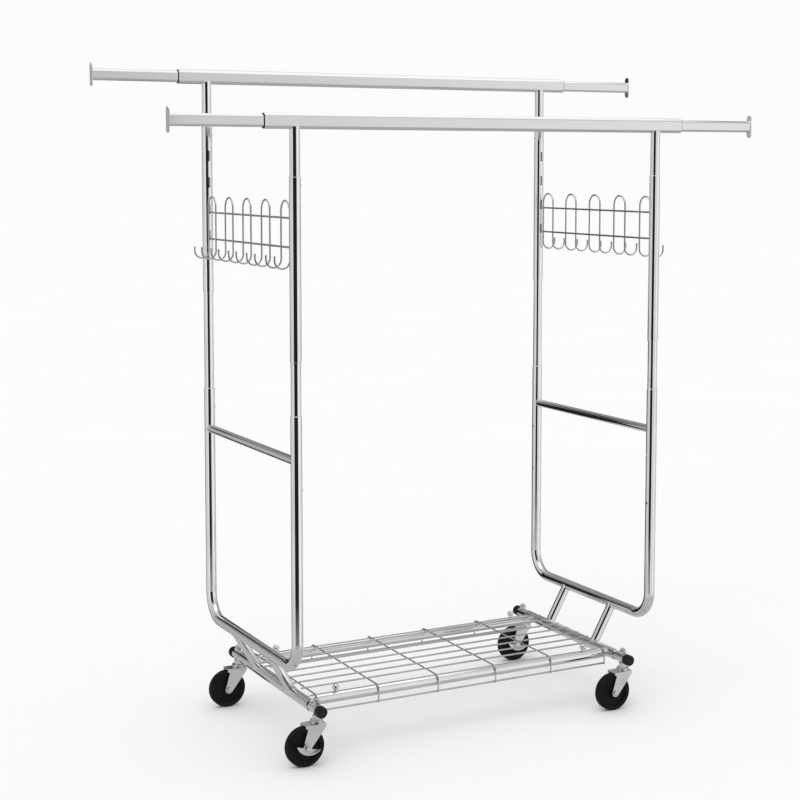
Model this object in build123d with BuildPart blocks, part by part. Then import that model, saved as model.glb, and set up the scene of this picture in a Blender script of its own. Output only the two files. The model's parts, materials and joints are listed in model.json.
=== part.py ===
from build123d import *
import os

# Rolling clothes rack: two U-shaped end frames on a wheeled base with a wire shelf, and two
# hanging rails at different heights. Millimetres. X runs along the rails, -Y is the front,
# +Z is up, and the origin is on the floor under the middle of the rack.

os.makedirs("parts", exist_ok=True)

# ------------------------------------------------------------------ driving sizes

# Posts and telescoping tubes
post_x = 521                # middle of the rack to each pair of posts
post_y = 286                # middle of the rack to the front and the back posts
outer_diameter = 28         # legs and slotted tubes
inner_diameter = 25         # the tubes that slide inside them
tube_wall = 1.2

# Lower end frames
leg_top_z = 874
collar_height = 1.5
collar_diameter = 28.8
foot_z = 250                # axis of the bottom run of each U
bend_radius = 68
crossbar_z = 765
crossbar_diameter = 21
strut_y = 114
strut_diameter = 25

# Height locks: three holes down each leg, facing the middle of the rack
lock_pitch = 128.5
lock_top_z = 823
lock_hole_diameter = 8
front_lock = 1              # the front frame stands in the middle hole
back_lock = 0               # the back frame stands in the top hole

# Upper frames, given for the front frame; the back one stands higher by whole lock pitches
rest_gap = 0.5              # slotted tube above the collar, in the lowest lock
slotted_bottom_z = leg_top_z + collar_height + rest_gap + lock_pitch
slotted_length = 440
rim_round = 0.9
socket_depth = 55           # how far a tube goes into the next one
tail_length = 30            # inner tube below its lock
rail_gap = 112              # bare stub between slotted tube and rail
stub_overlap = 7            # stub above the underside of the rail, before it is coped
slot_length = 28
slot_width = 6.5
slot_count = 4
slot_first = {"front": 86.5, "back": 77}     # tube top to the middle of the first slot
slot_pitch = 70
upper_button_drop = 20      # tube top to the upper snap button

# Hanging rails and their extension bars
rail_half_length = 600
rail_height = 38
rail_depth = 20
rail_corner = 9.4
rail_wall = 1.3
bar_height = 30
bar_depth = 15
bar_corner = 6.9
bar_reach = 836             # middle of the rack to the outside of the end plate
bar_hidden = 300            # length of bar inside the rail
plate_height = 60
plate_width = 18
plate_thickness = 3
plate_round = 0.8
bushing_length = 22
bushing_lip = 2
sliding_gap = 0.3

# Snap buttons
button_diameter = 7.4
button_proud = 2.6
nose_round = 2
nose_inset = 0.1            # root of a lower nose, inside the wall of its leg
flange_setback = 3          # root of an upper button, inside the bore of its stub
flange_rim = 1
flange_thickness = 1.2
spring_width = 8
spring_thickness = 0.8
spring_length = 42
spring_flat = 6             # half height of the flats at the open end
spring_near = 4.2           # front flat, from the axis of the tube
spring_far_gap = 2.4        # rear flat, from the wall of the tube

# Hook panels
rod_diameter = 5
loop_diameter = 4.6
loop_count = 5
loop_pitch = 120
loop_radius = 26
loop_top_z = 1390.5
hook_radius = 20
hook_bottom_z = 1224.5
hook_tip_rise = 9
hook_tip_diameter = 5.4
rod_tail = 5                # rod end inside the front post
weld_gap = 0.02

# Base
end_tube_x = 457.5
base_z = 138.5                # axis of the end tubes and base rails
end_tube_half = 288
sleeve_half = 226
sleeve_bead = 3
bead_height = 0.7
bore_gap = 0.1              # around the end tubes and the caster stems
base_rail_y = 189
base_rail_diameter = 27
base_rail_wall = 1.5
base_rail_half = 439
base_stub_diameter = 23.8
base_stub_inner_x = 335
cap_diameter = 29
cap_length = 18
cap_face_y = 291
cap_corner = 2.5
cap_gap = 0.05

# Ball knobs
knob_x = 373
knob_diameter = 17.6
knob_z = 162
knob_stud_diameter = 6
knob_neck_diameter = 9
knob_hole_diameter = 6.2

# Wire shelf
long_wire_diameter = 4.5
cross_wire_diameter = 4
long_wire_count = 7
long_wire_pitch = 49
long_wire_half = 450
cross_wire_count = 6
cross_wire_pitch = 173
cross_wire_bend = 12
lip_bottom_z = 110

# Casters
caster_y = 256
caster_trail = 33
wheel_diameter = 100
wheel_width = 24
tread_corner = 5
hub_width = 27
hub_diameter = 30
rim_inner_diameter = 72
web_thickness = 17
axle_diameter = 8
running_gap = 0.08
fork_inside = 30            # gap between the fork's legs
fork_sheet = 2.5
crown_bottom_z = 102.6
crown_thickness = 3.5
crown_front = 19            # crown ahead of the stem
crown_back = 3              # crown behind the axle
crown_corner = 3
crown_skirt = 8
neck_back = 9               # legs start this far inside the back end of the crown
neck_round = 4
fork_eye_radius = 10.5
race_taper = 18
race_diameter = 32
race_height = 4
race_gap = 0.4
race_plate_thickness = 2.5
stem_diameter = 12
stem_hex = 19
stem_rivet_diameter = 18
stem_rivet_height = 3.7
nut_hex = 17
nut_height = 7.5
nut_dome_diameter = 15.4
brake_half_width = 32.5
brake_depth = 15.5
brake_hollow = 0.5          # middle of the upper edge below the axle
brake_tip_height = 2        # tips above the axle
brake_tilt = 14             # left tip up, right tip down, in degrees
brake_boss_diameter = 24
brake_sheet = 3
brake_flange = 8
brake_flange_wall = 3
brake_gap = 0.4
bolt_head_diameter = 15
bolt_head_height = 4
bolt_head_corner = 2.5
bolt_nut_hex = 13
bolt_nut_height = 6.5
bolt_tail = 2

# ------------------------------------------------------------------ worked out from them

rack_sides = {"left": -1, "right": 1}
rack_faces = {"front": -1, "back": 1}
corners = {
    f"{face}_{side}": (rack_sides[side], rack_faces[face])
    for face in rack_faces
    for side in rack_sides
}
braked_corners = ("front_left", "back_right")

outer_radius = outer_diameter / 2
inner_radius = inner_diameter / 2
lock_heights = [lock_top_z - lock_pitch * step for step in range(3)]
lock_of_face = {"front": lock_heights[front_lock], "back": lock_heights[back_lock]}
lift_of_face = {"front": 0, "back": lock_pitch * (front_lock - back_lock)}
slotted_top_z = slotted_bottom_z + slotted_length
rail_z = slotted_top_z + rail_gap + rail_height / 2
slot_heights = {
    face: [slotted_top_z - slot_first[face] - slot_pitch * step for step in range(slot_count)]
    for face in rack_faces
}
rod_rest = slot_length / 2 - rod_diameter / 2 - sliding_gap
rod_heights = [z - rod_rest for z in slot_heights["front"][:2]]
base_rail_top = base_z + base_rail_diameter / 2
cross_wire_z = base_rail_top + cross_wire_diameter / 2
long_wire_z = base_rail_top + cross_wire_diameter + long_wire_diameter / 2
drop_y = base_rail_y + base_rail_diameter / 2 + cross_wire_diameter / 2
lip_y = drop_y - (cross_wire_diameter + long_wire_diameter) / 2
lip_z = lip_bottom_z + long_wire_diameter / 2
axle_z = wheel_diameter / 2
crown_top_z = crown_bottom_z + crown_thickness
fork_half = fork_inside / 2 + fork_sheet
tube_floor_z = base_z - inner_radius
tube_roof_z = base_z + inner_radius


def even_spread(count, pitch):
    """Positions of evenly spaced items, centred on zero."""
    return [pitch * (step - (count - 1) / 2) for step in range(count)]


def facing_y(x, y, z):
    """A plane that faces the front, with its own x along X and y along Z."""
    return Plane(origin=(x, y, z), x_dir=(1, 0, 0), z_dir=(0, -1, 0))


def facing_x(x, y, z):
    """A plane that faces right, with its own x along Y and y along Z."""
    return Plane(origin=(x, y, z), x_dir=(0, 1, 0), z_dir=(1, 0, 0))


def tube_section(diameter, wall):
    """A ring, for the sketch that is open."""
    Circle(diameter / 2)
    Circle(diameter / 2 - wall, mode=Mode.SUBTRACT)


def along_y(x, y, z):
    """A location whose cylinders lie along Y."""
    return Location((x, y, z), (90, 0, 0))


# ------------------------------------------------------------------ lower end frames

def build_u_frame(side):
    """One tube bent into a U, with three lock holes down the inside of each leg."""
    with BuildPart() as frame:
        with BuildLine(facing_x(side * post_x, 0, 0)) as route:
            FilletPolyline(
                (-post_y, leg_top_z),
                (-post_y, foot_z),
                (post_y, foot_z),
                (post_y, leg_top_z),
                radius=bend_radius,
            )
        with BuildSketch(Plane(origin=route.line @ 0, z_dir=route.line % 0)):
            tube_section(outer_diameter, tube_wall)
        sweep()
        with BuildSketch(facing_x(side * post_x, 0, 0)):
            with Locations(*[(y, z) for y in (-post_y, post_y) for z in lock_heights]):
                Circle(lock_hole_diameter / 2)
        extrude(amount=-side * outer_diameter, mode=Mode.SUBTRACT)
    return frame


for side_name, side in rack_sides.items():
    u_frame = build_u_frame(side)
    u_frame.part.label = f"{side_name}_u_frame"
    export_step(u_frame.part, f"parts/{side_name}_u_frame.step")

# A crossbar joins the two legs of each U, coped to fit them.
with BuildPart() as crossbars:
    for side in rack_sides.values():
        with BuildSketch(facing_y(side * post_x, 0, crossbar_z)):
            tube_section(crossbar_diameter, tube_wall)
        extrude(amount=post_y, both=True)
    with Locations(*[(x * post_x, y * post_y, crossbar_z) for x, y in corners.values()]):
        Cylinder(outer_radius, 2 * crossbar_diameter, mode=Mode.SUBTRACT)
crossbars.part.label = "crossbars"
export_step(crossbars.part, "parts/crossbars.step")

# Four slanting struts carry the U frames on the sleeves.
with BuildPart() as struts:
    for side in rack_sides.values():
        for y in (-strut_y, strut_y):
            strut_top = Vector(side * post_x, y, foot_z)
            strut_foot = Vector(side * end_tube_x, y, base_z)
            with BuildSketch(Plane(origin=strut_top, z_dir=strut_foot - strut_top)):
                tube_section(strut_diameter, tube_wall)
            extrude(amount=(strut_foot - strut_top).length)
    for side in rack_sides.values():
        with Locations(along_y(side * post_x, 0, foot_z), along_y(side * end_tube_x, 0, base_z)):
            Cylinder(outer_radius, 4 * strut_y, mode=Mode.SUBTRACT)
struts.part.label = "side_struts"
export_step(struts.part, "parts/side_struts.step")

# A thin plastic ring tops each leg, around the tube that slides through it.
with BuildPart() as collars:
    with BuildSketch(Plane.XY.offset(leg_top_z)):
        with Locations(*[(x * post_x, y * post_y) for x, y in corners.values()]):
            tube_section(collar_diameter, collar_diameter / 2 - outer_radius + tube_wall)
    extrude(amount=collar_height)
collars.part.label = "leg_collars"
export_step(collars.part, "parts/leg_collars.step")

# ------------------------------------------------------------------ base

def build_end_tube(side):
    """The tube across one end of the base, drilled for the caster stems."""
    with BuildPart() as tube:
        with BuildSketch(facing_y(side * end_tube_x, 0, base_z)):
            tube_section(inner_diameter, tube_wall)
        extrude(amount=end_tube_half, both=True)
        with Locations(*[(side * end_tube_x, y, base_z) for y in (-caster_y, caster_y)]):
            Cylinder(stem_diameter / 2 + bore_gap, 2 * inner_diameter, mode=Mode.SUBTRACT)
    return tube


def build_sleeve(side):
    """The sleeve around the end tube, with a rolled bead at each end."""
    with BuildPart() as sleeve:
        with BuildSketch(facing_y(side * end_tube_x, 0, base_z)):
            Circle(outer_radius)
            Circle(inner_radius + bore_gap, mode=Mode.SUBTRACT)
        extrude(amount=sleeve_half, both=True)
        for end in (-1, 1):
            with BuildSketch(facing_y(side * end_tube_x, end * sleeve_half, base_z)):
                tube_section(outer_diameter + 2 * bead_height, bead_height + tube_wall)
            extrude(amount=end * sleeve_bead)
    return sleeve


for side_name, side in rack_sides.items():
    end_tube = build_end_tube(side)
    end_tube.part.label = f"{side_name}_end_tube"
    export_step(end_tube.part, f"parts/{side_name}_end_tube.step")

    sleeve = build_sleeve(side)
    sleeve.part.label = f"{side_name}_sleeve"
    export_step(sleeve.part, f"parts/{side_name}_sleeve.step")

# Long rails of the base, drilled on top for the ball knobs.
with BuildPart() as base_rails:
    for y in (-base_rail_y, base_rail_y):
        with BuildSketch(facing_x(0, y, base_z)):
            tube_section(base_rail_diameter, base_rail_wall)
        extrude(amount=base_rail_half, both=True)
    with Locations(*[(x * knob_x, y * base_rail_y, base_rail_top) for x, y in corners.values()]):
        Cylinder(knob_hole_diameter / 2, base_rail_diameter / 2, mode=Mode.SUBTRACT)
base_rails.part.label = "base_rails"
export_step(base_rails.part, "parts/base_rails.step")

# Stubs from the sleeves plug into the long rails.
with BuildPart() as base_stubs:
    for x, y in corners.values():
        with BuildSketch(facing_x(x * base_stub_inner_x, y * base_rail_y, base_z)):
            tube_section(base_stub_diameter, base_rail_wall)
        extrude(amount=x * (end_tube_x - base_stub_inner_x))
    for side in rack_sides.values():
        with Locations(along_y(side * end_tube_x, 0, base_z)):
            Cylinder(outer_radius, 2 * sleeve_half, mode=Mode.SUBTRACT)
    with Locations(*[(x * knob_x, y * base_rail_y, base_rail_top) for x, y in corners.values()]):
        Cylinder(knob_hole_diameter / 2, base_rail_diameter / 2, mode=Mode.SUBTRACT)
base_stubs.part.label = "base_rail_stubs"
export_step(base_stubs.part, "parts/base_rail_stubs.step")

# Black plastic cups close the ends of the end tubes.
with BuildPart() as caps:
    for x, y in corners.values():
        with BuildSketch(facing_y(x * end_tube_x, y * cap_face_y, base_z)):
            Circle(cap_diameter / 2)
        extrude(amount=y * cap_length)
    end_faces = caps.faces().group_by(Axis.Y)[0] + caps.faces().group_by(Axis.Y)[-1]
    fillet(end_faces.edges(), cap_corner)
    for x, y in corners.values():
        with BuildSketch(facing_y(x * end_tube_x, y * end_tube_half, base_z)):
            Circle(inner_radius + cap_gap)
        extrude(amount=y * cap_length, mode=Mode.SUBTRACT)
caps.part.label = "end_caps"
export_step(caps.part, "parts/end_caps.step")

# ------------------------------------------------------------------ ball knobs

def build_knob(x, y):
    """A ball on a short stud that presses on the stub inside the rail."""
    with BuildPart() as knob:
        with BuildSketch(Plane.XY.offset(base_z)):
            with Locations((x * knob_x, y * base_rail_y)):
                Circle(knob_stud_diameter / 2)
        extrude(amount=knob_z - base_z)
        with BuildSketch(Plane.XY.offset(base_rail_top + sliding_gap)):
            with Locations((x * knob_x, y * base_rail_y)):
                Circle(knob_neck_diameter / 2)
        extrude(amount=knob_z - base_rail_top - sliding_gap)
        with Locations((x * knob_x, y * base_rail_y, knob_z)):
            Sphere(knob_diameter / 2)
    return knob


for corner, (x, y) in corners.items():
    knob = build_knob(x, y)
    knob.part.label = f"knob_{corner}"
    export_step(knob.part, f"parts/knob_{corner}.step")

# ------------------------------------------------------------------ wire shelf

# Seven wires run the length of the shelf, and one more edges each lip.
with BuildPart() as long_wires:
    with BuildSketch(facing_x(0, 0, 0)):
        with Locations(*[(y, long_wire_z) for y in even_spread(long_wire_count, long_wire_pitch)]):
            Circle(long_wire_diameter / 2)
    extrude(amount=long_wire_half, both=True)
    with BuildSketch(facing_x(0, 0, 0)):
        with Locations((-lip_y, lip_z), (lip_y, lip_z)):
            Circle(long_wire_diameter / 2)
    extrude(amount=(cross_wire_count - 1) * cross_wire_pitch / 2 + cross_wire_diameter / 2, both=True)
long_wires.part.label = "shelf_long_wires"
export_step(long_wires.part, "parts/shelf_long_wires.step")

# Cross wires lie on the base rails and bend down over them to the lips.
with BuildPart() as cross_wires:
    for x in even_spread(cross_wire_count, cross_wire_pitch):
        with BuildLine(facing_x(x, 0, 0)) as route:
            FilletPolyline(
                (-drop_y, lip_bottom_z),
                (-drop_y, cross_wire_z),
                (drop_y, cross_wire_z),
                (drop_y, lip_bottom_z),
                radius=cross_wire_bend,
            )
        with BuildSketch(Plane(origin=route.line @ 0, z_dir=route.line % 0)):
            Circle(cross_wire_diameter / 2)
        sweep()
cross_wires.part.label = "shelf_cross_wires"
export_step(cross_wires.part, "parts/shelf_cross_wires.step")

# ------------------------------------------------------------------ casters

# Stem with its hexagon under the tube, upper race plate and riveted lower end.
with BuildPart() as stems:
    stem_places = [(x * end_tube_x, y * caster_y) for x, y in corners.values()]
    rivet_bottom_z = crown_bottom_z - race_gap - stem_rivet_height
    race_plate_z = crown_top_z + race_height + race_gap
    with BuildSketch(Plane.XY.offset(rivet_bottom_z)):
        with Locations(*stem_places):
            Circle(stem_diameter / 2)
    extrude(amount=tube_roof_z + nut_height - rivet_bottom_z)
    with BuildSketch(Plane.XY.offset(rivet_bottom_z)):
        with Locations(*stem_places):
            Circle(stem_rivet_diameter / 2)
    extrude(amount=stem_rivet_height)
    with BuildSketch(Plane.XY.offset(race_plate_z)):
        with Locations(*stem_places):
            Circle(race_diameter / 2)
    extrude(amount=race_plate_thickness)
    with BuildSketch(Plane.XY.offset(race_plate_z + race_plate_thickness)):
        with Locations(*stem_places):
            RegularPolygon(stem_hex / 2, 6, major_radius=False)
    extrude(amount=tube_floor_z - race_plate_z - race_plate_thickness)
stems.part.label = "caster_stems"
export_step(stems.part, "parts/caster_stems.step")

# Domed nuts hold the stems on top of the end tubes.
with BuildPart() as stem_nuts:
    with BuildSketch(Plane.XY.offset(tube_roof_z)):
        with Locations(*stem_places):
            RegularPolygon(nut_hex / 2, 6, major_radius=False)
    extrude(amount=nut_height)
    with Locations(*[(x, y, tube_roof_z + nut_height) for x, y in stem_places]):
        Sphere(nut_dome_diameter / 2)
    with BuildSketch(Plane.XY.offset(tube_roof_z - nut_hex)):
        with Locations(*stem_places):
            Circle(nut_hex)
    extrude(amount=nut_hex, mode=Mode.SUBTRACT)
    with BuildSketch(Plane.XY.offset(tube_roof_z)):
        with Locations(*stem_places):
            Circle(stem_diameter / 2)
    extrude(amount=nut_height, mode=Mode.SUBTRACT)
stem_nuts.part.label = "stem_nuts"
export_step(stem_nuts.part, "parts/stem_nuts.step")


def build_fork(x, y):
    """Pressed-steel fork: a crown on the stem and two tapering legs down to the axle."""
    stem_x = x * end_tube_x
    mid_y = y * caster_y
    crown_length = caster_trail + crown_front + crown_back
    crown_mid = (crown_front - caster_trail - crown_back) / 2
    neck_width = crown_length - neck_back
    neck_mid = crown_mid + neck_back / 2
    leg_bottom_z = axle_z - fork_eye_radius
    with BuildPart() as fork:
        with BuildSketch(facing_x(stem_x + crown_front, mid_y, 0)) as channel:
            with Locations((0, leg_bottom_z)):
                Rectangle(2 * fork_half, crown_top_z - leg_bottom_z, align=(Align.CENTER, Align.MIN))
            fillet(channel.vertices().group_by(Axis.Y)[-1], crown_corner)
            with Locations((0, leg_bottom_z)):
                Rectangle(
                    fork_inside,
                    crown_bottom_z - leg_bottom_z,
                    align=(Align.CENTER, Align.MIN),
                    mode=Mode.SUBTRACT,
                )
        extrude(amount=-(caster_trail + crown_front + fork_eye_radius))
        with BuildSketch(facing_y(stem_x, mid_y, 0)) as side_shape:
            with Locations((-caster_trail, axle_z)):
                Circle(fork_eye_radius)
            with Locations((neck_mid, crown_top_z)):
                Rectangle(neck_width, crown_skirt, align=(Align.CENTER, Align.MAX))
            make_hull()
            with Locations((crown_mid, crown_top_z)):
                Rectangle(crown_length, crown_skirt, align=(Align.CENTER, Align.MAX))
            skirt_corners = side_shape.vertices().group_by(Axis.Y)[-2].sort_by(Axis.X)
            fillet(skirt_corners[1], neck_round)
        extrude(amount=2 * fork_half, both=True, mode=Mode.INTERSECT)
        with BuildSketch(Plane.XY.offset(crown_top_z)):
            with Locations((stem_x, mid_y)):
                Circle(race_diameter / 2)
        extrude(amount=race_height, taper=race_taper)
        with Locations((stem_x, mid_y, crown_top_z)):
            Cylinder(stem_diameter / 2 + running_gap, 4 * race_height, mode=Mode.SUBTRACT)
        with Locations(along_y(stem_x - caster_trail, mid_y, axle_z)):
            Cylinder(axle_diameter / 2, 4 * fork_half, mode=Mode.SUBTRACT)
    return fork


def build_wheel(x, y):
    """Solid wheel: hub, web and rounded tread, turned about its bore."""
    with BuildPart() as wheel:
        with BuildSketch(Plane.XY.offset(axle_z)) as profile:
            with Locations((x * end_tube_x - caster_trail, y * caster_y)):
                with Locations(((wheel_diameter + rim_inner_diameter) / 4, 0)):
                    Rectangle((wheel_diameter - rim_inner_diameter) / 2, wheel_width)
                with Locations((rim_inner_diameter / 4, 0)):
                    Rectangle(rim_inner_diameter / 2, web_thickness)
                with Locations((hub_diameter / 4, 0)):
                    Rectangle(hub_diameter / 2, hub_width)
            fillet(profile.vertices().group_by(Axis.X)[-1], tread_corner)
        wheel_axis = Axis((x * end_tube_x - caster_trail, 0, axle_z), (0, 1, 0))
        revolve(axis=wheel_axis)
        with Locations(along_y(x * end_tube_x - caster_trail, y * caster_y, axle_z)):
            Cylinder(axle_diameter / 2 + running_gap, 2 * hub_width, mode=Mode.SUBTRACT)
    return wheel


def build_axle(x, y, stack):
    """Axle bolt with a domed head in front and a nut behind; stack is what lies under the head."""
    axle_x = x * end_tube_x - caster_trail
    head_y = y * caster_y - fork_half - stack
    nut_y = y * caster_y + fork_half
    tail_y = nut_y + bolt_nut_height + bolt_tail
    with BuildPart() as axle:
        with BuildSketch(facing_y(axle_x, tail_y, axle_z)):
            Circle(axle_diameter / 2)
        extrude(amount=tail_y - head_y)
        with BuildSketch(facing_y(axle_x, head_y, axle_z)):
            Circle(bolt_head_diameter / 2)
        extrude(amount=bolt_head_height)
        fillet(axle.faces().sort_by(Axis.Y)[0].edges(), bolt_head_corner)
        with BuildSketch(facing_y(axle_x, nut_y + bolt_nut_height, axle_z)):
            RegularPolygon(bolt_nut_hex / 2, 6, major_radius=False)
        extrude(amount=bolt_nut_height)
    return axle


def build_brake(x, y):
    """Crescent side lock: a rocking plate on the axle with a flange along its lower edge."""
    axle_x = x * end_tube_x - caster_trail
    plate_y = y * caster_y - fork_half - brake_gap
    left_tip = (-brake_half_width, brake_tip_height)
    right_tip = (brake_half_width, brake_tip_height)
    left_inside = (-brake_half_width + brake_flange_wall, brake_tip_height)
    right_inside = (brake_half_width - brake_flange_wall, brake_tip_height)
    lever_plane = facing_y(axle_x, plate_y, axle_z).rotated((0, brake_tilt, 0))
    with BuildPart() as brake:
        with BuildSketch(lever_plane):
            with BuildLine():
                ThreePointArc(left_tip, (0, -brake_depth), right_tip)
                ThreePointArc(right_tip, (0, -brake_hollow), left_tip)
            make_face()
            Circle(brake_boss_diameter / 2)
        extrude(amount=brake_sheet)
        with BuildSketch(lever_plane):
            with BuildLine():
                ThreePointArc(left_tip, (0, -brake_depth), right_tip)
                Line(right_tip, right_inside)
                ThreePointArc(right_inside, (0, brake_flange_wall - brake_depth), left_inside)
                Line(left_inside, left_tip)
            make_face()
        extrude(amount=brake_flange)
        with Locations(along_y(axle_x, plate_y, axle_z)):
            Cylinder(axle_diameter / 2 + running_gap, 4 * brake_flange, mode=Mode.SUBTRACT)
    return brake


for corner, (x, y) in corners.items():
    fork = build_fork(x, y)
    fork.part.label = f"fork_{corner}"
    export_step(fork.part, f"parts/fork_{corner}.step")

    wheel = build_wheel(x, y)
    wheel.part.label = f"wheel_{corner}"
    export_step(wheel.part, f"parts/wheel_{corner}.step")

    stack = brake_sheet + 2 * brake_gap if corner in braked_corners else 0
    axle = build_axle(x, y, stack)
    axle.part.label = f"axle_{corner}"
    export_step(axle.part, f"parts/axle_{corner}.step")

for corner in braked_corners:
    brake = build_brake(*corners[corner])
    brake.part.label = f"brake_{corner}"
    export_step(brake.part, f"parts/brake_{corner}.step")

# ------------------------------------------------------------------ upper frames

def rail_section(height, depth, corner, wall):
    """Hollow flat-sided oval, for the sketch that is open."""
    RectangleRounded(depth, height, corner)
    RectangleRounded(depth - 2 * wall, height - 2 * wall, corner - wall, mode=Mode.SUBTRACT)


def build_top_rail(y, z):
    """The outer tube of one hanging rail."""
    with BuildPart() as rail:
        with BuildSketch(facing_x(0, y, z)):
            rail_section(rail_height, rail_depth, rail_corner, rail_wall)
        extrude(amount=rail_half_length, both=True)
    return rail


def inward_bores(y, z):
    """Locations for cylinders from the axes of a frame's two posts towards the middle."""
    return [Location((side * (post_x - outer_radius), y, z), (0, 90, 0)) for side in (-1, 1)]


def build_stubs(y, lift):
    """Two upright stubs, coped around the underside of the rail."""
    with BuildPart() as stubs:
        with BuildSketch(Plane.XY.offset(slotted_top_z - socket_depth + lift)):
            with Locations((-post_x, y), (post_x, y)):
                tube_section(inner_diameter, tube_wall)
        extrude(amount=socket_depth + rail_gap + stub_overlap)
        with BuildSketch(facing_x(0, y, rail_z + lift)):
            RectangleRounded(rail_depth, rail_height, rail_corner)
        extrude(amount=rail_half_length, both=True, mode=Mode.SUBTRACT)
        with Locations(*inward_bores(y, slotted_top_z - upper_button_drop + lift)):
            Cylinder(lock_hole_diameter / 2, outer_diameter, mode=Mode.SUBTRACT)
    return stubs


def build_slotted_tubes(y, lift, heights):
    """Two upright tubes with four slots each, facing the opposite posts."""
    inward = -1 if y > 0 else 1
    with BuildPart() as tubes:
        with BuildSketch(Plane.XY.offset(slotted_bottom_z + lift)):
            with Locations((-post_x, y), (post_x, y)):
                tube_section(outer_diameter, tube_wall)
        extrude(amount=slotted_length)
        rims = tubes.edges().filter_by(GeomType.CIRCLE).group_by(SortBy.RADIUS)[-1]
        fillet(rims, rim_round)
        for x in (-post_x, post_x):
            with BuildSketch(facing_y(x, y, lift)):
                with Locations(*[(0, z) for z in heights]):
                    SlotOverall(slot_length, slot_width, rotation=90)
            extrude(amount=-inward * outer_diameter, mode=Mode.SUBTRACT)
        with Locations(*inward_bores(y, slotted_top_z - upper_button_drop + lift)):
            Cylinder(lock_hole_diameter / 2, outer_diameter, mode=Mode.SUBTRACT)
    return tubes


def build_inner_tubes(y, lock_z, lift):
    """Two tubes that slide in the legs, each with the hole for its lower snap button."""
    bottom_z = lock_z - tail_length
    with BuildPart() as tubes:
        with BuildSketch(Plane.XY.offset(bottom_z)):
            with Locations((-post_x, y), (post_x, y)):
                tube_section(inner_diameter, tube_wall)
        extrude(amount=slotted_bottom_z + socket_depth + lift - bottom_z)
        with Locations(*inward_bores(y, lock_z)):
            Cylinder(lock_hole_diameter / 2, outer_diameter, mode=Mode.SUBTRACT)
    return tubes


def build_bushings(y, z):
    """Plastic guides in the two ends of a rail, around the extension bars."""
    with BuildPart() as bushings:
        for side in rack_sides.values():
            outside = side * (rail_half_length + bushing_lip)
            with BuildSketch(facing_x(outside, y, z)):
                RectangleRounded(
                    rail_depth - 2 * rail_wall, rail_height - 2 * rail_wall, rail_corner - rail_wall
                )
                RectangleRounded(
                    bar_depth + 2 * sliding_gap,
                    bar_height + 2 * sliding_gap,
                    bar_corner + sliding_gap,
                    mode=Mode.SUBTRACT,
                )
            extrude(amount=-side * bushing_length)
    return bushings


def build_extension(side, y, z):
    """One sliding bar with its welded end plate."""
    plate_x = side * (bar_reach - plate_thickness)
    with BuildPart() as extension:
        with BuildSketch(facing_x(plate_x, y, z)):
            rail_section(bar_height, bar_depth, bar_corner, tube_wall)
        extrude(amount=-side * (bar_reach - plate_thickness - rail_half_length + bar_hidden))
        with BuildSketch(facing_x(plate_x, y, z)):
            SlotOverall(plate_height, plate_width, rotation=90)
        extrude(amount=side * plate_thickness)
        outer_face = extension.faces().sort_by(Axis.X)[-1 if side > 0 else 0]
        fillet(outer_face.edges(), plate_round)
    return extension


def build_lower_button(side, y, z):
    """The nose of a lower snap button, in the hole of its leg."""
    nose_root = outer_radius - tube_wall + nose_inset
    with BuildPart() as button:
        with BuildSketch(facing_x(side * (post_x - nose_root), y, z)):
            Circle(button_diameter / 2)
        extrude(amount=-side * (outer_radius + button_proud - nose_root))
        nose = button.faces().sort_by(Axis.X)[0 if side > 0 else -1]
        fillet(nose.edges(), nose_round)
    return button


def build_upper_button(side, y, z):
    """An upper snap button with the flange that keeps it in the stub."""
    flange_root = inner_radius - tube_wall - flange_setback
    with BuildPart() as button:
        with BuildSketch(facing_x(side * (post_x - flange_root), y, z)):
            Circle(button_diameter / 2)
        extrude(amount=-side * (outer_radius + button_proud - flange_root))
        nose = button.faces().sort_by(Axis.X)[0 if side > 0 else -1]
        fillet(nose.edges(), nose_round)
        with BuildSketch(facing_x(side * (post_x - flange_root), y, z)):
            Circle(button_diameter / 2 + flange_rim)
        extrude(amount=-side * flange_thickness)
    return button


def build_springs(y, heights):
    """V-shaped leaf springs behind the snap buttons of a frame, each in its tube."""
    near = spring_near
    far = -(inner_radius - tube_wall - spring_far_gap)
    with BuildPart() as springs:
        for side in rack_sides.values():
            for z in heights:
                with BuildSketch(facing_y(side * post_x, y - spring_width / 2, z)):
                    with BuildLine():
                        Polyline(
                            (-side * near, spring_flat),
                            (-side * near, -spring_flat),
                            (-side * (near + far) / 2, spring_flat - spring_length),
                            (-side * far, -spring_flat),
                            (-side * far, spring_flat),
                        )
                        offset(amount=spring_thickness / 2)
                    make_face()
                extrude(amount=-spring_width)
    return springs


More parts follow.
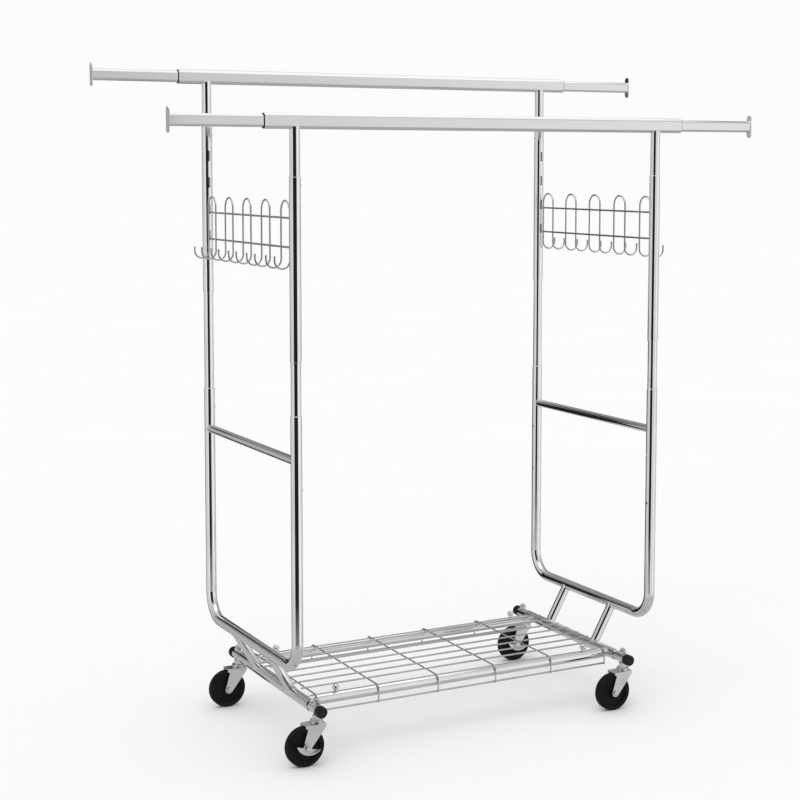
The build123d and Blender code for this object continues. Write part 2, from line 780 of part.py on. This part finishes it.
for face, facing in rack_faces.items():
    y = facing * post_y
    lift = lift_of_face[face]
    lock_z = lock_of_face[face]
    upper_button_z = slotted_top_z - upper_button_drop + lift

    top_rail = build_top_rail(y, rail_z + lift)
    top_rail.part.label = f"{face}_top_rail"
    export_step(top_rail.part, f"parts/{face}_top_rail.step")

    stubs = build_stubs(y, lift)
    stubs.part.label = f"{face}_stub_tubes"
    export_step(stubs.part, f"parts/{face}_stub_tubes.step")

    slotted_tubes = build_slotted_tubes(y, lift, slot_heights[face])
    slotted_tubes.part.label = f"{face}_slotted_tubes"
    export_step(slotted_tubes.part, f"parts/{face}_slotted_tubes.step")

    inner_tubes = build_inner_tubes(y, lock_z, lift)
    inner_tubes.part.label = f"{face}_inner_tubes"
    export_step(inner_tubes.part, f"parts/{face}_inner_tubes.step")

    bushings = build_bushings(y, rail_z + lift)
    bushings.part.label = f"{face}_rail_bushings"
    export_step(bushings.part, f"parts/{face}_rail_bushings.step")

    springs = build_springs(y, (lock_z, upper_button_z))
    springs.part.label = f"{face}_button_springs"
    export_step(springs.part, f"parts/{face}_button_springs.step")

    for side_name, side in rack_sides.items():
        extension = build_extension(side, y, rail_z + lift)
        extension.part.label = f"{face}_{side_name}_extension"
        export_step(extension.part, f"parts/{face}_{side_name}_extension.step")

        lower_button = build_lower_button(side, y, lock_z)
        lower_button.part.label = f"lower_button_{face}_{side_name}"
        export_step(lower_button.part, f"parts/lower_button_{face}_{side_name}.step")

        upper_button = build_upper_button(side, y, upper_button_z)
        upper_button.part.label = f"upper_button_{face}_{side_name}"
        export_step(upper_button.part, f"parts/upper_button_{face}_{side_name}.step")

# ------------------------------------------------------------------ hook panels

def build_hook_panel(side):
    """Two rods that hang in the front posts' slots, and five looped wires with two hooks each."""
    loop_x = post_x + rod_diameter / 2 + loop_diameter / 2 + weld_gap
    arch_z = loop_top_z - loop_diameter / 2 - loop_radius
    hook_z = hook_bottom_z + loop_diameter / 2 + hook_radius
    with BuildPart() as panel:
        for z in rod_heights:
            with BuildSketch(facing_y(side * post_x, post_y - outer_radius - sliding_gap, z)):
                Circle(rod_diameter / 2)
            extrude(amount=2 * (post_y - outer_radius) - sliding_gap + rod_tail)
        for y in even_spread(loop_count, loop_pitch):
            with BuildLine(facing_x(side * loop_x, 0, 0)) as arch:
                Line((y - loop_radius, hook_z), (y - loop_radius, arch_z))
                CenterArc((y, arch_z), loop_radius, 180, -180)
                Line((y + loop_radius, arch_z), (y + loop_radius, hook_z))
            with BuildSketch(Plane(origin=arch.line @ 0, z_dir=arch.line % 0)):
                Circle(loop_diameter / 2)
            sweep()
            for hook_y in (y - loop_radius, y + loop_radius):
                with BuildLine(facing_y(0, hook_y, 0)) as hook:
                    CenterArc(
                        (side * (loop_x + hook_radius), hook_z), hook_radius, 90 + 90 * side, 180 * side
                    )
                    Line(
                        (side * (loop_x + 2 * hook_radius), hook_z),
                        (side * (loop_x + 2 * hook_radius), hook_z + hook_tip_rise),
                    )
                with BuildSketch(Plane(origin=hook.line @ 0, z_dir=hook.line % 0)):
                    Circle(loop_diameter / 2)
                sweep()
                with Locations(hook.line @ 1):
                    Sphere(hook_tip_diameter / 2)
    return panel


for side_name, side in rack_sides.items():
    hook_panel = build_hook_panel(side)
    hook_panel.part.label = f"{side_name}_hook_panel"
    export_step(hook_panel.part, f"parts/{side_name}_hook_panel.step")
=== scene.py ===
import json
import math

import bpy
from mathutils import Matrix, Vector


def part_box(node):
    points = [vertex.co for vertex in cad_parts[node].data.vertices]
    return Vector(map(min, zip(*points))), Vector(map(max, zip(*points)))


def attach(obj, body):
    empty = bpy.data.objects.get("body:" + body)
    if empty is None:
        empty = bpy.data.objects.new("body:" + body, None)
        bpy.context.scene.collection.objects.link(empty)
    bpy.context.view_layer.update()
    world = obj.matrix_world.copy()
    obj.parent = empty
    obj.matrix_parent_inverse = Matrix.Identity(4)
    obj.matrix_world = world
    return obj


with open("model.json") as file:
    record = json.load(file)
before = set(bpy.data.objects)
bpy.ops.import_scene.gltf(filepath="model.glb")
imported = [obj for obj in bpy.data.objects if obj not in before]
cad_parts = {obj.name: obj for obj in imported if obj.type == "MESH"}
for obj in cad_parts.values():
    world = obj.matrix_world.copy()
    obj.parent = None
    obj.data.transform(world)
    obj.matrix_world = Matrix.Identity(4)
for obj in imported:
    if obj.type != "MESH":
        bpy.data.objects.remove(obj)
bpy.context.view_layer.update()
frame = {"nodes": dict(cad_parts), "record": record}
nodes = frame["nodes"]

# ------------------------------------------------------------------ node-tree helpers


class Tree:
    """A short way to add and link shader nodes."""

    def __init__(self, tree):
        self.tree = tree
        tree.nodes.clear()

    def add(self, kind, **settings):
        node = self.tree.nodes.new(kind)
        for name, value in settings.items():
            setattr(node, name, value)
        return node

    def link(self, source, target):
        self.tree.links.new(source, target)

    def maths(self, operation, first, second):
        node = self.tree.nodes.new("ShaderNodeMath")
        node.operation = operation
        for socket, value in zip(node.inputs, (first, second)):
            if isinstance(value, (int, float)):
                socket.default_value = value
            else:
                self.link(value, socket)
        return node.outputs[0]

    def noise(self, vector, scale, detail=3.0, roughness=0.5):
        node = self.tree.nodes.new("ShaderNodeTexNoise")
        node.inputs["Scale"].default_value = scale
        node.inputs["Detail"].default_value = detail
        node.inputs["Roughness"].default_value = roughness
        self.link(vector, node.inputs["Vector"])
        return node.outputs["Fac"]

    def spread(self, value, low, high, from_low=0.3, from_high=0.7):
        node = self.tree.nodes.new("ShaderNodeMapRange")
        node.inputs["From Min"].default_value = from_low
        node.inputs["From Max"].default_value = from_high
        node.inputs["To Min"].default_value = low
        node.inputs["To Max"].default_value = high
        self.link(value, node.inputs["Value"])
        return node.outputs["Result"]

    def ramp(self, value, stops, interpolation="EASE"):
        node = self.tree.nodes.new("ShaderNodeValToRGB")
        node.color_ramp.interpolation = interpolation
        elements = node.color_ramp.elements
        while len(elements) < len(stops):
            elements.new(1.0)
        for element, (position, grey) in zip(elements, stops):
            element.position = position
            element.color = (grey, grey, grey, 1.0)
        self.link(value, node.inputs["Fac"])
        return node.outputs["Color"]

    def stretched(self, scale):
        """Object coordinates, scaled by axis."""
        coordinates = self.tree.nodes.new("ShaderNodeTexCoord")
        mapping = self.tree.nodes.new("ShaderNodeMapping")
        mapping.inputs["Scale"].default_value = scale
        self.link(coordinates.outputs["Object"], mapping.inputs["Vector"])
        return mapping.outputs["Vector"]


# ------------------------------------------------------------------ materials


RELIEF_DEPTH = 0.0004        # metres
CLOUD_SHARE = 0.15           # scale of the colour's slow variation, as a share of the grain's


def surface(
    name, low_shade, high_shade, metallic, roughness, grain, grain_scale, bump,
    stretch=(1, 1, 1), gloss=0.5,
):
    """Grey principled material whose shade, roughness and fine relief all vary with noise."""
    material = bpy.data.materials.new(name)
    material.use_nodes = True
    tree = Tree(material.node_tree)
    output = tree.add("ShaderNodeOutputMaterial")
    shader = tree.add("ShaderNodeBsdfPrincipled")
    shader.inputs["Metallic"].default_value = metallic
    shader.inputs["Specular IOR Level"].default_value = gloss
    place = tree.stretched(stretch)
    cloud = tree.noise(place, grain_scale * CLOUD_SHARE, detail=4.0)
    fine = tree.noise(place, grain_scale, detail=5.0, roughness=0.6)
    mix = tree.add("ShaderNodeMix", data_type="RGBA")
    mix.inputs["A"].default_value = (low_shade, low_shade, low_shade, 1.0)
    mix.inputs["B"].default_value = (high_shade, high_shade, high_shade, 1.0)
    tree.link(tree.spread(cloud, 0.0, 1.0), mix.inputs["Factor"])
    tree.link(mix.outputs["Result"], shader.inputs["Base Color"])
    tree.link(tree.spread(fine, roughness - grain, roughness + grain), shader.inputs["Roughness"])
    relief = tree.add("ShaderNodeBump")
    relief.inputs["Strength"].default_value = bump
    relief.inputs["Distance"].default_value = RELIEF_DEPTH
    tree.link(fine, relief.inputs["Height"])
    tree.link(relief.outputs["Normal"], shader.inputs["Normal"])
    tree.link(shader.outputs["BSDF"], output.inputs["Surface"])
    return material


# Slot: lowest and highest shade, metallic, roughness, its variation, grain scale and relief strength.
ALONG_X = (0.06, 1, 1)
finishes = {
    "chrome_tube": (0.84, 0.93, 1.0, 0.06, 0.02, 60.0, 0.04),
    "satin_rail": (0.72, 0.79, 1.0, 0.10, 0.03, 90.0, 0.04, ALONG_X),
    # chrome_wire is chrome painted darker (0.50 to 0.62) than the tubes: painted shade that stands in for
    # the dark reflections along the thin wires
    "chrome_wire": (0.50, 0.62, 1.0, 0.12, 0.04, 80.0, 0.05),
    "zinc_plate": (0.60, 0.74, 1.0, 0.32, 0.08, 140.0, 0.15),
    "zinc_fastener": (0.56, 0.70, 1.0, 0.24, 0.06, 160.0, 0.1),
    "spring_steel": (0.30, 0.40, 1.0, 0.35, 0.08, 120.0, 0.1),
    "clear_nylon": (0.62, 0.70, 0.0, 0.4, 0.06, 200.0, 0.1),
    "black_plastic": (0.006, 0.012, 0.0, 0.42, 0.08, 260.0, 0.2, (1, 1, 1), 0.25),
    "tread_rubber": (0.005, 0.011, 0.0, 0.6, 0.1, 180.0, 0.2, (1, 1, 1), 0.12),
}
materials = {slot: surface(slot, *finish) for slot, finish in finishes.items()}
for part in frame["record"]["subparts"]:
    mesh = nodes[part["node"]].data
    mesh.materials.clear()
    mesh.materials.append(materials[part["material_slot"]])

# ------------------------------------------------------------------ weld beads

# Sizes of the pieces that are welded, in metres.
TUBE = 0.014                 # radius of the legs, U frames and sleeves
STRUT = 0.0125               # radii of the struts, base rails and base stubs
BASE_RAIL = 0.0135
BASE_STUB = 0.0119
RAIL_CORNER = 0.0094
BAR_HALF_DEPTH = 0.0075
BAR_HALF_HEIGHT = 0.015
BAR_CORNER = 0.0069
PLATE_THICKNESS = 0.003
ROD = 0.0025
ROD_DROPS = (0.0437, 0.1137)     # top of a hook panel to its rods
LOOP_COUNT = 5
LOOP_PITCH = 0.12
LOOP_RADIUS = 0.026
CROSS_WIRE_COUNT = 6
CROSS_WIRE_PITCH = 0.173
CROSS_WIRE_DIAMETER = 0.004
LONG_WIRE_COUNT = 7
LONG_WIRE_PITCH = 0.049

SEAM_STEPS = 72
SIDES = {"left": -1, "right": 1}
CORNERS = [(x, y) for x in SIDES.values() for y in (-1, 1)]
UPRIGHT = Vector((0, 0, 1))
LENGTHWISE = Vector((0, 1, 0))
CROSSWISE = Vector((1, 0, 0))


def middle(node):
    """Centre of a node's box, and half its size."""
    low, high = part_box(node)
    return (low + high) / 2, (high - low) / 2


def evenly(count, pitch):
    """Positions of evenly spaced items, centred on zero."""
    return [(step - (count - 1) / 2) * pitch for step in range(count)]


def turns(count):
    """Angles all the way round."""
    return [2 * math.pi * step / count for step in range(count)]


def cope_path(centre, along, tube_radius, main):
    """Where a tube that leaves centre in one direction meets the round tube that it is welded to."""
    across = along.cross(main).normalized()
    other = along.cross(across)
    points = []
    for angle in turns(SEAM_STEPS):
        rim = across * (tube_radius * math.cos(angle)) + other * (tube_radius * math.sin(angle))
        flat_rim = rim - main * rim.dot(main)
        flat_along = along - main * along.dot(main)
        square = flat_along.length_squared
        half = flat_rim.dot(flat_along)
        reach = (math.sqrt(half * half - square * (flat_rim.length_squared - TUBE * TUBE)) - half) / square
        points.append(centre + rim + along * reach)
    return points


def ring_path(centre, normal, radius):
    """A small circle round a point."""
    first = normal.orthogonal().normalized()
    second = normal.cross(first)
    return [
        centre + first * (radius * math.cos(angle)) + second * (radius * math.sin(angle))
        for angle in turns(12)
    ]


RIPPLE = 0.14                # how much a bead's radius swells and shrinks


def beads(name, body, paths, radius, ripples=0, sides=8):
    """One mesh of weld beads, swept along closed paths with the ripples of a hand-laid weld."""
    vertices = []
    faces = []
    for path in paths:
        first = len(vertices)
        count = len(path)
        centre = sum(path, Vector()) / count
        for step, point in enumerate(path):
            forward = (path[(step + 1) % count] - path[step - 1]).normalized()
            outward = point - centre
            outward = (outward - forward * outward.dot(forward)).normalized()
            upward = forward.cross(outward)
            size = radius * (1 + RIPPLE * math.cos(2 * math.pi * ripples * step / count))
            for angle in turns(sides):
                offset = outward * (size * math.cos(angle)) + upward * (size * math.sin(angle))
                vertices.append(point + offset)
        for step in range(count):
            here = first + step * sides
            there = first + (step + 1) % count * sides
            for side in range(sides):
                beside = (side + 1) % sides
                faces.append((here + side, here + beside, there + beside, there + side))
    mesh = bpy.data.meshes.new(name)
    mesh.from_pydata(vertices, [], faces)
    mesh.polygons.foreach_set("use_smooth", [True] * len(faces))
    mesh.materials.append(materials["chrome_tube"])
    weld = bpy.data.objects.new(name, mesh)
    bpy.context.scene.collection.objects.link(weld)
    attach(weld, body)


def frame_welds():
    """Welds of the base and the two U frames."""
    leg, leg_half = middle("right_u_frame")
    leg_y = leg_half.y - TUBE
    foot_z = leg.z - leg_half.z + TUBE
    crossbar, crossbar_half = middle("crossbars")
    end_tube, _ = middle("right_end_tube")
    _, strut_half = middle("side_struts")
    _, rail_half = middle("base_rails")
    strut_y = strut_half.y - STRUT
    rail_y = rail_half.y - BASE_RAIL
    crossbar_paths = []
    strut_paths = []
    stub_paths = []
    for x, y in CORNERS:
        crossbar_end = Vector((x * leg.x, y * leg_y, crossbar.z))
        crossbar_paths.append(cope_path(crossbar_end, LENGTHWISE * -y, crossbar_half.z, UPRIGHT))
        top = Vector((x * leg.x, y * strut_y, foot_z))
        foot = Vector((x * end_tube.x, y * strut_y, end_tube.z))
        slope = (foot - top).normalized()
        strut_paths.append(cope_path(top, slope, STRUT, LENGTHWISE))
        strut_paths.append(cope_path(foot, -slope, STRUT, LENGTHWISE))
        stub_end = Vector((x * end_tube.x, y * rail_y, end_tube.z))
        stub_paths.append(cope_path(stub_end, CROSSWISE * -x, BASE_STUB, LENGTHWISE))
    beads("welds_crossbars", "base", crossbar_paths, 0.0013, 24)
    beads("welds_struts", "base", strut_paths, 0.0015, 24)
    beads("welds_base_stubs", "base", stub_paths, 0.0013, 24)


def stub_path(centre_x, radius, rail, rail_half, stub_top):
    """Where an upright stub meets the rounded underside of its rail, or ends beside it."""
    path = []
    for angle in turns(SEAM_STEPS):
        y = radius * math.sin(angle)
        inset = min(max(abs(y) - rail_half.y + RAIL_CORNER, 0.0), RAIL_CORNER)
        drop = math.sqrt(RAIL_CORNER * RAIL_CORNER - inset * inset)
        under = rail.z - rail_half.z + RAIL_CORNER - drop
        path.append(Vector((centre_x + radius * math.cos(angle), rail.y + y, min(under, stub_top))))
    return path


def plate_path(inner_x, plate):
    """The outline of an extension bar, where its end plate starts."""
    path = []
    for angle in turns(SEAM_STEPS):
        across, up = math.cos(angle), math.sin(angle)
        y = math.copysign(BAR_HALF_DEPTH - BAR_CORNER, across) + BAR_CORNER * across
        z = math.copysign(BAR_HALF_HEIGHT - BAR_CORNER, up) + BAR_CORNER * up
        path.append(Vector((inner_x, plate.y + y, plate.z + z)))
    return path


def rail_welds():
    """Welds of the upright stubs under the rails, and of the end plates on their bars."""
    for face in ("front", "back"):
        stubs, stub_half = middle(f"{face}_stub_tubes")
        rail, rail_half = middle(f"{face}_top_rail")
        stub_x = stub_half.x - stub_half.y
        paths = [
            stub_path(side * stub_x, stub_half.y, rail, rail_half, stubs.z + stub_half.z)
            for side in SIDES.values()
        ]
        beads(f"welds_{face}_rail", f"{face}_frame", paths, 0.0012, 20)
        for side_name, side in SIDES.items():
            node = f"{face}_{side_name}_extension"
            plate, plate_half = middle(node)
            inner_x = plate.x + side * (plate_half.x - PLATE_THICKNESS)
            beads(f"welds_{node}", node, [plate_path(inner_x, plate)], 0.0008, 18)


def wire_welds():
    """Spot welds of the hook panels and of the shelf wires."""
    for side_name, side in SIDES.items():
        panel, panel_half = middle(f"{side_name}_hook_panel")
        leg, _ = middle(f"{side_name}_u_frame")
        paths = []
        for loop_y in evenly(LOOP_COUNT, LOOP_PITCH):
            for leg_y in (loop_y - LOOP_RADIUS, loop_y + LOOP_RADIUS):
                for drop in ROD_DROPS:
                    place = Vector((leg.x + side * ROD, leg_y, panel.z + panel_half.z - drop))
                    paths.append(ring_path(place, CROSSWISE, 0.0014))
        beads(f"welds_{side_name}_hooks", f"{side_name}_hook_panel", paths, 0.0008)
    rails, rail_half = middle("base_rails")
    rail_top = rails.z + rail_half.z
    rail_y = rail_half.y - BASE_RAIL
    paths = []
    for x in evenly(CROSS_WIRE_COUNT, CROSS_WIRE_PITCH):
        for y in evenly(LONG_WIRE_COUNT, LONG_WIRE_PITCH):
            paths.append(ring_path(Vector((x, y, rail_top + CROSS_WIRE_DIAMETER)), UPRIGHT, 0.0013))
        for y in (-rail_y, rail_y):
            paths.append(ring_path(Vector((x, y, rail_top)), UPRIGHT, 0.0013))
    beads("welds_shelf", "base", paths, 0.0008)


frame_welds()
rail_welds()
wire_welds()

# ------------------------------------------------------------------ studio


# The camera looks 27.65 degrees to the right of +Y and a little down.
# Turns round the studio are measured from behind it, positive to its right.
CAMERA_PLACE = (-2.1131, -3.8591, 1.4752)
CAMERA_TURN = math.radians(27.65)
CAMERA_TILT = math.radians(5.128)
CAMERA_RIGHT = Vector((math.cos(CAMERA_TURN), -math.sin(CAMERA_TURN), 0.0))
CAMERA_FORWARD = Vector((math.sin(CAMERA_TURN), math.cos(CAMERA_TURN), 0.0))

DAYLIGHT = 0.94
BACKDROP = 0.972
CARD_BLACK = 0.015
CARD_WHITE = 1.25
# Brightness of the walls by turn in degrees, up to eye level.
WALL_STOPS = [
    (-180, 0.46), (-122, 0.46), (-108, 0.58), (-96, 0.66), (-45, 0.72), (-33, 0.95),
    (8, 0.86), (30, 0.70), (42, 0.68), (50, 0.78), (60, 0.90), (66, 1.0),
    (76, 1.0), (86, 0.76), (118, 0.74), (130, 0.42), (180, 0.46),
]
# The same above eye level, and how much of it shows by height, as the sine of the elevation.
UPPER_WALL_STOPS = [
    (-180, 0.26), (-125, 0.26), (-105, 0.5), (-40, 0.7),
    (60, 0.75), (110, 0.5), (130, 0.26), (180, 0.26),
]
UPPER_SHARE_STOPS = [(0.08, 0.0), (0.30, 1.0)]
# Floor and ceiling by height, and how much of them shows.
BEYOND_STOPS = [(-1.0, 0.48), (-0.05, 0.50), (0.05, 0.55), (1.0, 0.55)]
BEYOND_SHARE_STOPS = [(-0.50, 1.0), (-0.22, 0.0), (0.62, 0.0), (0.76, 1.0)]


def by_turn(stops):
    """Stops for a ramp that runs once round the studio."""
    return [((turn + 180) / 360, value) for turn, value in stops]


def by_height(stops):
    """Stops for a ramp that runs from straight down to straight up."""
    return [((height + 1) / 2, value) for height, value in stops]


def background(tree, strength):
    node = tree.add("ShaderNodeBackground")
    node.inputs["Color"].default_value = (1, 1, 1, 1)
    node.inputs["Strength"].default_value = strength
    return node


def studio_world():
    """White backdrop and even daylight; reflections see the walls, floor and ceiling of a studio."""
    world = bpy.data.worlds.new("studio")
    bpy.context.scene.world = world
    world.use_nodes = True
    tree = Tree(world.node_tree)
    output = tree.add("ShaderNodeOutputWorld")
    daylight = background(tree, DAYLIGHT)
    backdrop = background(tree, BACKDROP)
    room = background(tree, 1.0)
    axes = tree.add("ShaderNodeSeparateXYZ")
    tree.link(tree.add("ShaderNodeTexCoord").outputs["Generated"], axes.inputs["Vector"])
    compass = tree.maths("ARCTAN2", axes.outputs["X"], axes.outputs["Y"])
    turn = tree.maths("SUBTRACT", math.pi + CAMERA_TURN, compass)
    turn = tree.maths("WRAP", turn, math.pi)
    turn.node.inputs[2].default_value = -math.pi
    around = tree.maths("MULTIPLY_ADD", turn, 0.5 / math.pi)
    around.node.inputs[2].default_value = 0.5
    height = tree.maths("MULTIPLY_ADD", axes.outputs["Z"], 0.5)
    height.node.inputs[2].default_value = 0.5
    shade = tree.ramp(around, by_turn(WALL_STOPS))
    upper = tree.ramp(around, by_turn(UPPER_WALL_STOPS))
    beyond = tree.ramp(height, by_height(BEYOND_STOPS))
    for other, stops in ((upper, UPPER_SHARE_STOPS), (beyond, BEYOND_SHARE_STOPS)):
        mix = tree.add("ShaderNodeMix", data_type="RGBA")
        tree.link(tree.ramp(height, by_height(stops)), mix.inputs["Factor"])
        tree.link(shade, mix.inputs["A"])
        tree.link(other, mix.inputs["B"])
        shade = mix.outputs["Result"]
    tree.link(shade, room.inputs["Color"])
    path = tree.add("ShaderNodeLightPath")
    glossy = tree.add("ShaderNodeMixShader")
    tree.link(path.outputs["Is Glossy Ray"], glossy.inputs["Fac"])
    tree.link(daylight.outputs["Background"], glossy.inputs[1])
    tree.link(room.outputs["Background"], glossy.inputs[2])
    seen = tree.add("ShaderNodeMixShader")
    tree.link(path.outputs["Is Camera Ray"], seen.inputs["Fac"])
    tree.link(glossy.outputs["Shader"], seen.inputs[1])
    tree.link(backdrop.outputs["Background"], seen.inputs[2])
    tree.link(seen.outputs["Shader"], output.inputs["Surface"])


def card(name, centre, along, half_width, reach, fades, shade=CARD_BLACK, rise=UPRIGHT):
    """A card that only reflections see: black and upright unless told otherwise.

    reach is its lower and upper edge from centre, along rise; fades are how softly its sides,
    its lower edge and its upper edge end.
    """
    low, high = reach
    side_fade, low_fade, high_fade = fades
    mesh = bpy.data.meshes.new(name)
    corners = [
        centre + along * (side * half_width) + rise * edge
        for side, edge in ((-1, low), (1, low), (1, high), (-1, high))
    ]
    mesh.from_pydata(corners, [], [(0, 1, 2, 3)])
    layer = mesh.uv_layers.new(name="metres")
    width, height = 2 * half_width, high - low
    for loop, place in zip(layer.data, ((0, 0), (width, 0), (width, height), (0, height))):
        loop.uv = place
    material = bpy.data.materials.new(name)
    material.use_nodes = True
    tree = Tree(material.node_tree)
    axes = tree.add("ShaderNodeSeparateXYZ")
    tree.link(tree.add("ShaderNodeTexCoord").outputs["UV"], axes.inputs["Vector"])
    inside = tree.spread(axes.outputs["X"], 0.0, 1.0, 0, side_fade)
    for axis, start, end in (
        ("X", width, width - side_fade), ("Y", 0, low_fade), ("Y", height, height - high_fade),
    ):
        inside = tree.maths("MULTIPLY", inside, tree.spread(axes.outputs[axis], 0.0, 1.0, start, end))
    face = tree.add("ShaderNodeEmission")
    face.inputs["Strength"].default_value = shade
    clear = tree.add("ShaderNodeBsdfTransparent")
    mix = tree.add("ShaderNodeMixShader")
    tree.link(inside, mix.inputs["Fac"])
    tree.link(clear.outputs["BSDF"], mix.inputs[1])
    tree.link(face.outputs["Emission"], mix.inputs[2])
    tree.link(mix.outputs["Shader"], tree.add("ShaderNodeOutputMaterial").inputs["Surface"])
    mesh.materials.append(material)
    board = bpy.data.objects.new(name, mesh)
    bpy.context.scene.collection.objects.link(board)
    board.visible_camera = False
    board.visible_diffuse = False
    board.visible_shadow = False
    board.visible_transmission = False


def soft_sun():
    """A wide soft light that chrome doesn't mirror."""
    light = bpy.data.lights.new("key", "SUN")
    light.energy = 0.55
    light.angle = math.radians(35)
    lamp = bpy.data.objects.new("key", light)
    lamp.rotation_euler = Vector((0.55, 0.35, -1.0)).to_track_quat("-Z", "Y").to_euler()
    lamp.visible_glossy = False
    bpy.context.scene.collection.objects.link(lamp)


def floor():
    """Plain pale floor, as bright as the backdrop."""
    mesh = bpy.data.meshes.new("floor")
    half = 60.0
    corners = [(-half, -half, 0), (half, -half, 0), (half, half, 0), (-half, half, 0)]
    mesh.from_pydata(corners, [], [(0, 1, 2, 3)])
    plane = bpy.data.objects.new("floor", mesh)
    bpy.context.scene.collection.objects.link(plane)
    mesh.materials.append(surface("floor_paper", 0.893, 0.903, 0.0, 0.7, 0.05, 8.0, 0.02, gloss=0.0))
    plane.visible_glossy = False


def camera():
    """Long lens at eye height, in front of the rack and to its left."""
    data = bpy.data.cameras.new("camera")
    data.sensor_width = 36.0
    data.lens = 74.289
    data.shift_y = -0.11
    viewer = bpy.data.objects.new("camera", data)
    viewer.location = CAMERA_PLACE
    viewer.rotation_euler = (math.pi / 2 - CAMERA_TILT, 0, -CAMERA_TURN)
    bpy.context.scene.collection.objects.link(viewer)
    bpy.context.scene.camera = viewer


studio_world()
in_front = CAMERA_FORWARD * -2.0 + CAMERA_RIGHT * -0.315
card("card_front", in_front, CAMERA_RIGHT, 1.185, (-0.55, 2.4), (0.12, 0.55, 0.12))
card("card_tall", Vector((-0.85, 2.0, 0)), CROSSWISE, 0.27, (-0.5, 1.6), (0.06, 0.2, 0.15))
card("card_low", Vector((-0.1, 2.05, 0)), CROSSWISE, 0.6, (-0.8, 0.95), (0.06, 0.2, 0.15))
card("card_high", Vector((-0.25, 2.0, 0)), CROSSWISE, 0.37, (1.72, 2.3), (0.06, 0.06, 0.2))
overhead = Vector((0, 0, 2.1))
card("card_overhead", overhead, CROSSWISE, 1.15, (-0.9, 0.75), (0.15, 0.15, 0.15), CARD_WHITE, LENGTHWISE)
soft_sun()
floor()
camera()
bpy.context.scene.view_settings.view_transform = "Standard"
